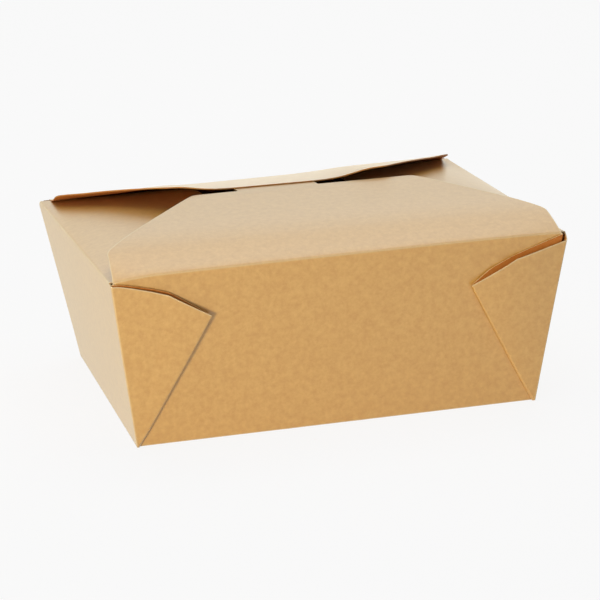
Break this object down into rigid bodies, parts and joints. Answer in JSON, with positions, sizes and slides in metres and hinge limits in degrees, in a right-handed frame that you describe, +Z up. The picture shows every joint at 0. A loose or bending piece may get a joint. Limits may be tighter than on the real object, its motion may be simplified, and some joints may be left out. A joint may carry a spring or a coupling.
{
  "type": "takeaway box",
  "caption": "Flared takeaway box folded from one sheet of kraft board, closed by side flaps, a front flap with a tongue and a hinged back flap.",
  "frame": {"origin": "middle of the base's underside, on the table", "axes": "+X along the long front wall to the right, +Y from the front wall to the back wall, +Z up"},
  "size_m": [0.172, 0.1442, 0.0807],
  "materials": {
    "kraft_board": "matte"
  },
  "bodies": {
    "carton": {"carton": "kraft_board"},
    "back_flap": {"back_flap": "kraft_board"}
  },
  "joints": [
    {"name": "back_flap_hinge", "type": "hinge", "parent": "carton", "child": "back_flap", "pos_m": [0, 0.06878, 0.065], "axis": [-1, 0, 0], "range_deg": [0, 170]}
  ]
}
